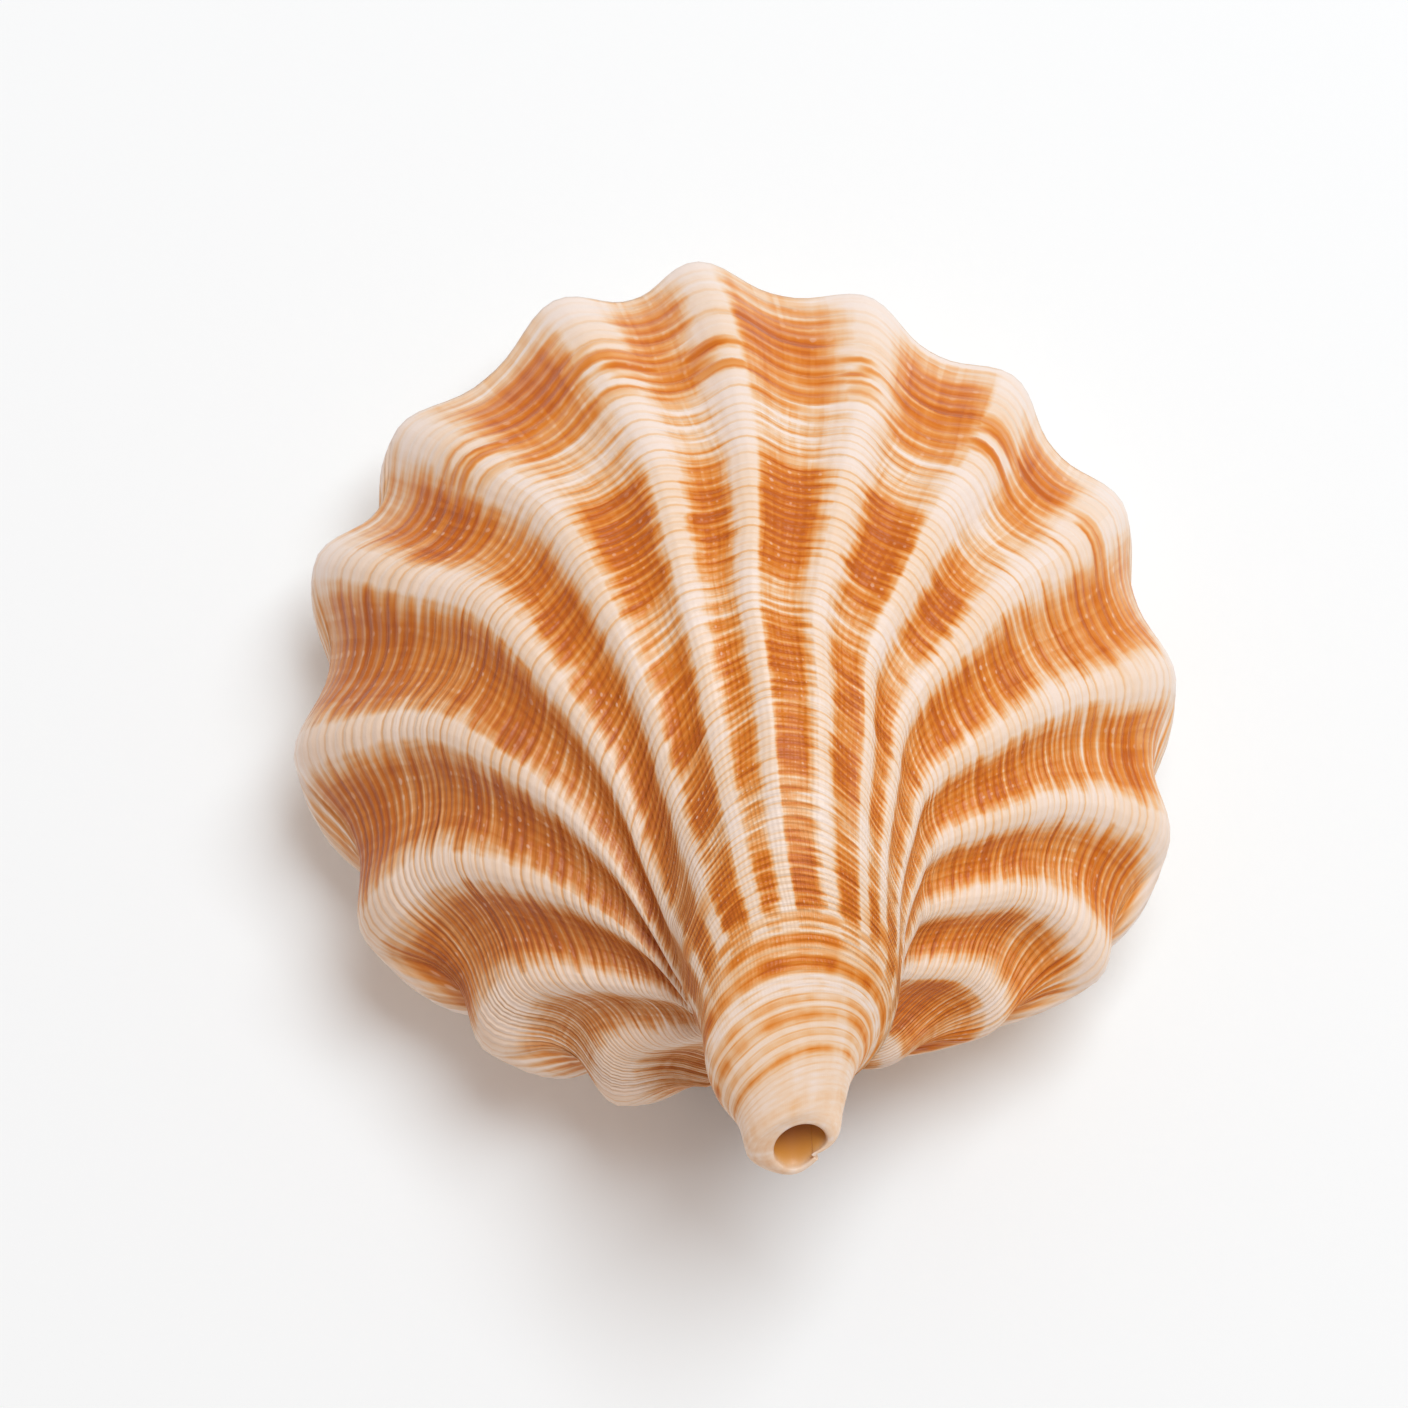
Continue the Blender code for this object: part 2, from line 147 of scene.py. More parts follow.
shell = {
    # level, middle x, middle y, half width, half length, back height, front height, turn, lean
    "rings": (
        (0.000, 4.3, -45.7, 4.8, 1.0, 33.2, 26.8, 24, 0.00),
        (0.062, 4.35, -42.8, 5.8, 2.2, 35.0, 27.2, 27, 0.00),
        (0.136, 4.0, -39.6, 7.6, 3.9, 36.6, 27.8, 22, 0.00),
        (0.235, 4.5, -35.2, 8.8, 6.8, 38.2, 28.0, 10, -0.04),
        (0.333, 4.1, -30.9, 9.7, 9.2, 39.3, 27.5, 3, -0.10),
        (0.432, 3.8, -26.4, 10.3, 12.0, 39.5, 26.2, 0, -0.14),
        (0.531, 3.2, -21.8, 12.1, 15.1, 38.7, 24.2, 0, -0.13),
        (0.630, 1.2, -17.8, 16.3, 19.6, 36.8, 21.8, 0, -0.05),
        (0.728, 0.3, -13.5, 24.4, 24.5, 33.8, 19.0, 0, -0.05),
        (0.827, 0.1, -9.4, 31.0, 30.0, 29.7, 16.2, 0, -0.05),
        (0.901, 0.0, -5.7, 36.8, 34.2, 25.0, 13.8, 0, -0.04),
        (0.951, -0.1, -1.8, 40.4, 36.9, 20.3, 10.8, 0, -0.05),
        (1.000, -0.7, 2.4, 42.4, 39.8, 13.5, 5.0, 0, 0.00),
    ),
    "frontDrop": 0.111,            # in front the shoulder comes at this much less of the way
    "shoulderReach": (             # angle, reach of the shoulder as a share of its oval
        (-197, 0.912), (-180, 0.945), (-163, 1.020), (-145, 1.024), (-125, 1.010), (-101, 0.992),
        (-76, 0.975), (-51, 0.962), (-24, 1.000), (-4, 1.014), (18, 0.970), (41, 0.960), (64, 0.965),
        (89, 0.980), (112, 1.018), (131, 1.054), (147, 0.988), (163, 0.912), (180, 0.945), (197, 1.020),
    ),
    "reachGrows": (0.78, 0.97),    # levels between which the outline takes on that reach
    # angles of the crests of the ribs at three places
    "ribsAtWaist": (
        -160, -146, -132, -116, -96, -67, -39, -10, 19, 45, 64, 82, 98, 115, 132, 152, 176),
    "ribsAtMiddle": (
        -155, -134, -110, -87, -65, -43, -21, -1, 20, 40, 58, 78, 95, 112, 130, 151, 175),
    "ribsAtShoulder": (
        -163, -145, -125, -100, -73, -51, -24, -5, 18, 41, 64, 89, 112, 131, 147, 161, 177),
    # places, and how far the ribs there keep to their angles at the waist and at the shoulder
    "waistShare": (
        (0.0, 0.25, 0.36, 0.45, 0.53, 0.60, 0.66, 1.0), (0.3, 0.4, 0.75, 1.0, 0.85, 0.3, 0.0, 0.0)),
    "shoulderShare": ((0.0, 0.72, 0.80, 0.89, 0.95, 1.0, 2.0), (0.0, 0.0, 0.1, 0.36, 0.66, 1.0, 1.0)),
    # places, and the height of the ribs there
    "ribHeight": ((0.0, 0.22, 0.40, 0.55, 0.70, 0.82, 0.92, 1.0), (0.0, 0.0, 0.3, 0.7, 1.3, 1.9, 2.5, 2.6)),
    "lobeHeight": (                # angle, height of the ribs there as a share
        (-180, 1.25), (-130, 1.38), (-80, 1.40), (-45, 1.12), (0, 1.00), (60, 0.95), (100, 0.95),
        (125, 0.95), (142, 0.55), (180, 0.40),
    ),
    "ribsEnd": (1.15, 1.50),       # places on the base between which the ribs run out
    "ribsByMouth": (0.8, 160, 176),   # share of their height that they lose beside the mouth, and angles
    "ribTrough": 0.42,             # share of the height that lies below the plain oval
    "crestSharpness": 1.25,
    # step under the shoulder, share of the radius, share of the height, height
    "base": (
        (0.00, 1.000, 1.00, 0.0), (0.09, 0.988, 0.86, 0.0), (0.18, 0.961, 0.68, 0.0),
        (0.28, 0.918, 0.46, 0.0), (0.38, 0.859, 0.26, 0.2), (0.48, 0.783, 0.11, 0.5),
        (0.58, 0.692, 0.03, 0.8), (0.68, 0.590, 0.00, 1.2), (0.80, 0.410, 0.00, 2.0),
        (0.91, 0.200, 0.00, 3.2), (1.00, 0.000, 0.00, 4.0),
    ),
    "spireMiddle": (0.0, 4.0),
    "whorlShrink": 0.52,
    "whorlStep": 2.4,
    "whorlPeak": 0.3,              # the spiral step is steepest over this share of a turn
    "whorlSpan": (0.45, 0.62, 0.85),   # shares of the radius: full step up to the second, none past the third
    "wall": 1.9,
    "snoutWall": 2.3,
    "snoutToBody": (0.25, 0.50),   # places between which the inside passes from one wall to the other
    "slope": (0.004, 0.020, 0.75, 0.96),   # place either way that the slope spans, its gain, and places
    "slopeEnds": (1.245, 1.25),    # furthest ends of that span, in steps of the back
    "slopeAside": 0.004,           # radians either way
    "baseSteps": 4,                # a step of the back is this many on the base
    "hole": (4.85, -47.3, 30.2),
    "holeHalf": (2.5, 2.3),
    "holeTurn": 34.0,
    "holeTilt": 44.0,
    "holeAside": 0.5,              # share of the turn by which the hole looks to the side
    "rimRings": ((0.18, -0.06), (0.02, 0.10), (-0.06, 0.55)),   # how much wider than the hole, how deep
    "domeReach": 0.42,             # fullness of the dome between the rim and the outside
    "domeLeaves": 0.03,            # place that the dome's end points away from
    "throatMarks": (0.0, 0.12, 0.34, 1.0, 1.6),   # spacing of the rings that the throat runs through
    "throatEnd": 0.11,             # place of the last of them
    # place, angle of the mouth's middle, half its width
    "mouth": (
        (0.00, 128, -0.03), (0.06, 131, -0.03), (0.12, 138, 0.12), (0.18, 146, 0.45), (0.24, 157, 1.0),
        (0.33, 167, 2.2), (0.44, 171, 3.1), (0.56, 173, 3.8), (0.70, 176, 4.6), (0.86, 178, 5.0),
        (1.00, 178, 5.3), (1.20, 177, 6.8), (1.42, 178, 7.8), (1.70, 180, 7.0),
    ),
    "mouthEnd": 1.70,
    "mouthRound": 0.20,            # the mouth's end rounds off over this much of the way
    "leftLip": ((0.70, 0.0), (0.86, 1.3), (1.08, 1.3), (1.30, 0.0)),   # place, how much further it reaches
    # shares by which the slit's right and left lip are drawn in at the tip, and the place where that ends
    "tuck": {"outside": (0.42, 0.25, 0.08), "inside": (0.14, 0.14, 0.14)},
    "tuckAngles": (68, 5, 60),     # where it starts, where it is full before the slit, where it ends past it
    "lipBulge": (0.04, 0.90, 0.10, 0.40),   # roundness of the lips at the tip and further down, and places
    "lipRoom": (0.15, 0.04),       # mm that the lips take beyond the wall's half, and that the slit keeps
    "lipPoints": 5,
    "tipRows": 10,                 # rows from the hole's rim over the dome, and as many down into the hole
    "rowStarts": (0.0, 0.80, 1.04),
    "rowCounts": (84, 80, 30, 9),  # rows from each start on, and from the mouth's end
    "lastRow": 1.975,
    "insideAhead": (0.06, 0.25),   # lead of the inner rows at the tip, and the place where it ends
    "columns": 220,
    "rimLevel": -0.03,             # level at the rim of the hole
    "levelBelow": 0.4,             # level gained from the shoulder to the apex
    "waySteps": 810.0,             # the cord spacings below are in this many parts of the way to the shoulder
    "cordSpacing": (7.5, 9.0),     # on the back, and by the edge
    "cordChange": 0.85,            # level where the one gives way to the other
    "cordRelief": 0.07,            # only near the edge; finer cords are in the finish
    "cordsInMesh": (0.74, 0.93, 0.965, 0.995),   # places where they start, are full, start to fade, are gone
    "middle": (-0.67, -2.76, -0.46),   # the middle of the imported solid's box, on the floor
}
shell["ribCount"] = len(shell["ribsAtMiddle"])


def ringPoint(angle, level):
    # the plain body without ribs
    angle, level = np.broadcast_arrays(np.asarray(angle, float), np.asarray(level, float))
    table = np.array(shell["rings"])
    midX, midY, halfW, halfL, backZ, frontZ, turn, lean = (
        curveThrough(level, table[:, 0], column) for column in table[:, 1:].T)
    turn = np.radians(turn)
    around = angle + turn
    along = np.cos(around)
    angles, reach = np.array(shell["shoulderReach"]).T
    bulge = curveThrough(inDegrees(angle), angles, reach)
    bulge = 1 + (bulge - 1) * ease(level, *shell["reachGrows"])
    side = halfW * np.sin(around) * (1 + lean * along) * bulge
    halfL = halfL * bulge
    x = midX - halfL * along * np.sin(turn) + side * np.cos(turn)
    y = midY + halfL * along * np.cos(turn) + side * np.sin(turn)
    z = (backZ + frontZ) / 2 + (backZ - frontZ) / 2 * along
    return np.stack([x, y, z], -1)


def shoulderLevel(angle):
    return 1 - shell["frontDrop"] * ((1 - np.cos(angle)) / 2) ** 3


def basePoint(angle, step):
    # the turned-in base, from the shoulder (0) to the apex (1), with the spiral step of its spire
    edge = ringPoint(angle, shoulderLevel(angle))
    steps, radius, share, height = np.array(shell["base"]).T
    r = curveThrough(step, steps, radius)
    x = shell["spireMiddle"][0] * (1 - r) + edge[..., 0] * r
    y = shell["spireMiddle"][1] * (1 - r) + edge[..., 1] * r
    z = edge[..., 2] * curveThrough(step, steps, share) + curveThrough(step, steps, height)
    whorl = np.log(np.maximum(r, 0.02)) / np.log(shell["whorlShrink"]) - angle / (2 * np.pi)
    phase = whorl - np.floor(whorl)
    peak = shell["whorlPeak"]
    ridge = np.where(phase < peak, phase / peak, (1 - phase) / (1 - peak))
    grown, fading, gone = shell["whorlSpan"]
    z = z - shell["whorlStep"] * (ridge - peak) * ease(r, 0.0, grown) * (1 - ease(r, fading, gone))
    return np.stack([x, y, z], -1)


def smoothPoint(angle, place):
    # body and base in one
    angle, place = np.broadcast_arrays(np.asarray(angle, float), np.asarray(place, float))
    body = ringPoint(angle, np.minimum(place, 1) * shoulderLevel(angle))
    base = basePoint(angle, np.maximum(place - 1, 0))
    return np.where((place < 1)[..., None], body, base)


def outward(angle, place):
    # near the shoulder the slope is taken over some millimetres, so that no rows cross in its bend
    least, gain, start, full = shell["slope"]
    reach = least + gain * ease(place, start, full)
    longer = shell["baseSteps"]
    below = np.where(place > 1, 1 + (place - 1) / longer, place)
    low = np.clip(below - reach, 0, shell["slopeEnds"][0])
    high = np.clip(low + 2 * reach, 0, shell["slopeEnds"][1])
    low, high = (np.where(step > 1, 1 + (step - 1) * longer, step) for step in (low, high))
    aside = shell["slopeAside"]
    around = smoothPoint(angle + aside, place) - smoothPoint(angle - aside, place)
    along = smoothPoint(angle, high) - smoothPoint(angle, low)
    return unit(np.cross(around, along))


def crestAngle(phase, crests):
    crests = np.array(crests, float)
    count = shell["ribCount"]
    turns = np.concatenate([crests - 360, crests, crests + 360])
    return curveThrough(phase, np.arange(-count, 2 * count), turns)


def ribAngle(phase, place):
    # angle in radians, running on past half a turn; whole phases are the crests of the ribs
    middle = crestAngle(phase, shell["ribsAtMiddle"])
    waist = crestAngle(phase, shell["ribsAtWaist"]) - middle
    shoulder = crestAngle(phase, shell["ribsAtShoulder"]) - middle
    waist = waist * curveThrough(place, *shell["waistShare"])
    shoulder = shoulder * curveThrough(place, *shell["shoulderShare"])
    return np.radians(middle + waist + shoulder)


def ribHeight(angle, place):
    turned = inDegrees(angle)
    angles, share = np.array(shell["lobeHeight"]).T
    height = curveThrough(np.minimum(place, 1), *shell["ribHeight"]) * curveThrough(turned, angles, share)
    lost, start, full = shell["ribsByMouth"]
    return height * (1 - ease(place, *shell["ribsEnd"])) * (1 - lost * ease(np.abs(turned), start, full))


def cordCount(level):
    # number of cords from the tip to this level; they lie a little wider by the edge
    near, far = shell["cordSpacing"]
    change = shell["cordChange"]
    return shell["waySteps"] * (np.minimum(level, change) / near + np.maximum(level - change, 0) / far)


def levelOf(angle, place):
    # level of a place, running on under the shell
    drop = shoulderLevel(angle)
    return np.where(place < 1, place * drop, drop + (place - 1) * shell["levelBelow"])


def ringMiddle(place):
    # 24 points round the row give its middle well enough
    return smoothPoint(np.linspace(0, 2 * np.pi, 24, endpoint=False), place).mean(axis=0)


def tuck(angle, place, side="outside"):
    # how far the two lips of the slit are drawn in to the middle of the snout, the right one more
    turned = inDegrees(angle)
    slit = curveThrough(place, *np.array(shell["mouth"]).T[:2])
    right, left, end = shell["tuck"][side]
    start, before, past = shell["tuckAngles"]
    fromRight = right * ease(turned, start, slit - before)
    fromLeft = left * (1 - ease(turned, slit, slit + past))
    return np.where(turned < slit, fromRight, fromLeft) * (1 - ease(place, 0.0, end))


def outerPoint(phase, place):
    # one row of the outside, with its ribs and its largest cords
    angle = ribAngle(phase, place)
    wave = (0.5 + 0.5 * np.cos(2 * np.pi * phase)) ** shell["crestSharpness"] - shell["ribTrough"]
    start, full, fading, gone = shell["cordsInMesh"]
    cords = np.cos(2 * np.pi * cordCount(levelOf(angle, place))) * shell["cordRelief"]
    cords = cords * ease(place, start, full) * (1 - ease(place, fading, gone))
    lift = wave * ribHeight(angle, place) + cords
    point = smoothPoint(angle, place) + outward(angle, place) * lift[..., None]
    return point + (ringMiddle(place[0]) - point) * tuck(angle, place)[..., None]


def innerPoint(phase, place):
    # one row of the inside: set in by the wall, and near the tip towards the row's own middle
    angle = ribAngle(phase, place)
    outer = smoothPoint(angle, place)
    inset = shell["wall"] + shell["ribTrough"] * ribHeight(angle, place)
    body = outer - outward(angle, place) * inset[..., None]
    middle = ringMiddle(place[0])
    radius = np.linalg.norm(outer - middle, axis=-1, keepdims=True)
    drawn = tuck(angle, place, "inside")
    snout = middle + (outer - middle) * (1 - shell["snoutWall"] / radius) * (1 - drawn[..., None])
    share = ease(place, *shell["snoutToBody"])[..., None]
    return snout * (1 - share) + body * share


def holeRing(angle, size, depth):
    # oval about the hole in the tip: size widens it, depth sinks it into the snout
    turn, tilt = math.radians(shell["holeTurn"]), math.radians(shell["holeTilt"])
    longAxis = np.array([math.cos(turn), math.sin(turn), 0.0])
    aside = math.sin(tilt) * math.sin(turn) * shell["holeAside"]
    facing = unit(np.array([aside, -math.sin(tilt), math.cos(tilt)]))
    shortAxis = unit(np.cross(facing, longAxis))
    longAxis = np.cross(shortAxis, facing)
    around = angle + turn
    across = (np.sin(around) * (shell["holeHalf"][0] + size))[..., None] * longAxis
    upward = (np.cos(around) * (shell["holeHalf"][1] + size))[..., None] * shortAxis
    return np.array(shell["hole"]) + across + upward - facing * depth


def tipRows(phase, outer, inner):
    # from the rim of the hole over the domed end to the outside, and down into the hole
    count = shell["tipRows"]
    tip = np.zeros_like(phase)
    angle = ribAngle(phase, tip)
    drawn = tuck(angle, tip)[..., None]
    flush = tuck(angle, tip, "inside")[..., None]
    hole = np.array(shell["hole"])
    rings = []
    for (size, depth), share in zip(shell["rimRings"], (drawn, drawn, (drawn + flush) / 2)):
        ring = holeRing(angle, size, depth)
        rings.append(ring + (hole - ring) * share)
    rim = rings[0]
    leave = unit(outer - outerPoint(phase, np.full_like(phase, shell["domeLeaves"])))
    reach = shell["domeReach"] * np.linalg.norm(outer - rim, axis=-1, keepdims=True)
    wider = rim + unit(rim - hole) * reach
    ahead = outer + leave * reach
    t = (np.arange(count) / count)[:, None, None]
    dome = (1 - t) ** 3 * rim + 3 * (1 - t) ** 2 * t * wider + 3 * (1 - t) * t * t * ahead + t ** 3 * outer
    rings += [inner, innerPoint(phase, np.full_like(phase, shell["throatEnd"]))]
    throat = curveThrough(np.arange(count) / count, shell["throatMarks"], rings)
    return dome, throat


def mouthEdges(place):
    # rib phases of the mouth's two edges at each place; they meet where the mouth has ended
    knots, middle, half = np.array(shell["mouth"]).T
    middle = np.radians(curveThrough(place, knots, middle))
    beyond, kept = shell["lipRoom"]
    half = curveThrough(place, knots, half) + lipBulge(place) * (shell["wall"] / 2 + beyond) + kept
    left = np.clip((shell["mouthEnd"] - place) / shell["mouthRound"], 0, 1)
    half = half * np.sqrt(1 - (1 - left) ** 2)
    step = 0.01                    # radians
    pace = np.linalg.norm(smoothPoint(middle + step, place) - smoothPoint(middle - step, place), axis=-1)
    pace = pace / (2 * step)       # mm per radian
    further = curveThrough(place, *np.array(shell["leftLip"]).T)
    phases = np.linspace(-9, 25, 1361)      # 40 to a rib, two turns in all
    low, high = [], []
    for p, a, s, r in zip(place, middle, half / pace, further / pace):
        table = ribAngle(phases, np.full_like(phases, p))
        low.append(np.interp(a + s - r - 2 * np.pi, table, phases))
        high.append(np.interp(a - s, table, phases))
    return np.array(low), np.array(high)


def lipBulge(place):
    tip, lower, start, full = shell["lipBulge"]
    return tip + (lower - tip) * ease(place, start, full)


def lipRow(middle, across, toward, bulge):
    # half a turn from the outside over the lip to the inside, without its two ends
    turns = np.pi * np.arange(1, shell["lipPoints"] + 1) / (shell["lipPoints"] + 1)
    size = np.linalg.norm(across) * bulge
    return [middle + across * math.cos(t) + toward * size * math.sin(t) for t in turns]


def makeShell():
    # one sheet, folded over the rim of the hole: each outer row is paired with an inner one
    n = shell["columns"]
    end = shell["mouthEnd"]
    fold = shell["tipRows"]
    starts = [*shell["rowStarts"], end]
    runs = [np.linspace(a, b, count, endpoint=False)
            for a, b, count in zip(starts, starts[1:], shell["rowCounts"])]
    places = np.concatenate([*runs, np.linspace(end, shell["lastRow"], shell["rowCounts"][-1])])
    low, high = mouthEdges(places)
    phase = low[:, None] + (high - low)[:, None] * np.linspace(0, 1, n + 1)
    lead, leadEnd = shell["insideAhead"]
    deeper = places + lead * (1 - ease(places, 0.0, leadEnd))
    outer, inner = (np.array([point(phase[i], np.full(n + 1, p)) for i, p in enumerate(rowPlaces)])
                    for point, rowPlaces in ((outerPoint, places), (innerPoint, deeper)))
    dome, throat = tipRows(phase[0], outer[0], inner[0])
    outer = np.concatenate([dome, outer])
    inner = np.concatenate([throat, inner])
    phase = np.concatenate([np.repeat(phase[:1], fold, 0), phase])
    place = np.concatenate([np.zeros(fold), places])[:, None]
    rows = len(outer)
    closed = fold + int(np.searchsorted(places, end - 1e-6))      # at this row the mouth has closed

    angle = ribAngle(phase, place)
    level = levelOf(angle, place)
    level[:fold] = shell["rimLevel"] * (fold - np.arange(fold))[:, None] / fold
    turned = inDegrees(angle)
    inside = np.minimum(1.0, np.arange(rows) / fold)[:, None] + 0 * phase
    points = [outer.reshape(-1, 3), inner.reshape(-1, 3)]
    facts = [np.stack([phase, level, turned, share], -1).reshape(-1, 4) for share in (0 * inside, inside)]
    extra, extraFacts = [], []

    def put(point, fact):
        extra.append(point)
        extraFacts.append(fact)
        return 2 * rows * (n + 1) + len(extra) - 1

    outerId = np.arange(rows * (n + 1)).reshape(rows, n + 1)
    innerId = outerId + rows * (n + 1)
    innerId[0] = outerId[0]
    for ids in (outerId, innerId):
        ids[closed:, n] = ids[closed:, 0]
    quads = [np.stack([outerId[:-1, :-1], outerId[:-1, 1:], outerId[1:, 1:], outerId[1:, :-1]], -1),
             np.stack([innerId[:-1, :-1], innerId[1:, :-1], innerId[1:, 1:], innerId[:-1, 1:]], -1)]
    faces = np.concatenate([q.reshape(-1, 4) for q in quads]).tolist()

    # the rounded lips along both edges of the mouth; at the closed row both edges share one
    bulge = lipBulge(place[:, 0])
    edges = []
    for j in (0, n):
        middle = (outer[:closed + 1, j] + inner[:closed + 1, j]) / 2
        across = outer[:closed + 1, j] - middle
        toward = unit(np.cross(np.gradient(middle, axis=0), across))
        half = closed // 2
        opposite = (outer[half, n - j] + inner[half, n - j]) / 2 - middle[half]
        toward = toward * (1 if toward[half] @ opposite > 0 else -1)
        edges.append((j, middle, across, toward))
    last = unit(edges[0][3][closed] + edges[1][3][closed])
    shared = [put(point, (phase[closed, 0], level[closed, 0], turned[closed, 0], 0.5))
              for point in lipRow(edges[0][1][closed], edges[0][2][closed], last, bulge[closed])]
    for j, middle, across, toward in edges:
        lips = [[outerId[0, j]] * shell["lipPoints"]]
        for i in range(1, closed):
            row = lipRow(middle[i], across[i], toward[i], bulge[i])
            steps = inside[i, j] * np.arange(1, len(row) + 1) / (len(row) + 1)
            lips.append([put(point, (phase[i, j], level[i, j], turned[i, j], share))
                         for point, share in zip(row, steps)])
        lips.append(shared)
        for i in range(closed):
            a = [outerId[i, j]] + lips[i] + [innerId[i, j]]
            b = [outerId[i + 1, j]] + lips[i + 1] + [innerId[i + 1, j]]
            for k in range(len(a) - 1):
                quad = (a[k], b[k], b[k + 1], a[k + 1]) if j == 0 else (a[k], a[k + 1], b[k + 1], b[k])
                quad = tuple(dict.fromkeys(quad))
                if len(quad) > 2:
                    faces.append(quad)

    # the spire's apex, outside and inside
    apex = smoothPoint(0.0, 2.0)
    apexLevel = 1 + shell["levelBelow"]
    apexOut = put(apex, (0.0, apexLevel, 0.0, 0.0))
    apexIn = put(apex + (0, 0, shell["wall"]), (0.0, apexLevel, 0.0, 1.0))
    for j in range(n):
        faces.append((outerId[-1, j], outerId[-1, j + 1], apexOut))
        faces.append((innerId[-1, j + 1], innerId[-1, j], apexIn))
    points = np.concatenate(points + [np.array(extra)])
    facts = np.concatenate(facts + [np.array(extraFacts)])
    used = np.unique(np.concatenate([np.array(face) for face in faces]))
    order = np.full(len(points), -1)
    order[used] = np.arange(len(used))
    faces = [[int(order[v]) for v in face] for face in faces]
    mesh = bpy.data.meshes.new("shellSurface")
    mesh.from_pydata(((points[used] - shell["middle"]) * mm).tolist(), [], faces)
    mesh.update()
    addFacts(mesh, facts[used])
    mesh.shade_smooth()
    item = bpy.data.objects.new("whelkShell", mesh)
    bpy.context.scene.collection.objects.link(item)
    print("shell mesh", len(used), "points", sum(len(face) - 2 for face in faces), "triangles")
    return item


def addFacts(mesh, facts):
    # every corner carries its rib phase, level, angle and how far inside it lies, without a
    # jump inside a face where a full turn ends
    corner = np.zeros(len(mesh.loops), int)
    starts = np.zeros(len(mesh.polygons), int)
    totals = np.zeros(len(mesh.polygons), int)
    mesh.loops.foreach_get("vertex_index", corner)
    mesh.polygons.foreach_get("loop_start", starts)
    mesh.polygons.foreach_get("loop_total", totals)
    owner = np.repeat(np.arange(len(totals)), totals)
    values = facts[corner]
    for column, wholeTurn in ((0, shell["ribCount"]), (2, 360)):
        highest = np.full(len(totals), -np.inf)
        np.maximum.at(highest, owner, values[:, column])
        behind = highest[owner] - values[:, column] > wholeTurn / 2
        values[behind, column] += wholeTurn
    named = {"ribPhase": values[:, 0], "level": values[:, 1], "cords": cordCount(values[:, 1]),
             "turned": values[:, 2], "inside": values[:, 3]}
    for name, data in named.items():
        layer = mesh.attributes.new(name, "FLOAT", "CORNER")
        layer.data.foreach_set("value", data.astype(np.float32))


shellPiece = makeShell()
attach(shellPiece, "root")
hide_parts("shell")


# finish: natural aragonite shell, smooth with a soft gloss, with saffron and rust stripes between
# cream ribs; fine raised cords run round it and finer threads cross them

# Four numbers in a row take a value from between the first two to between the last two, and two
# numbers take it to between 0 and 1. Names with numbers say how much of each noise is added.

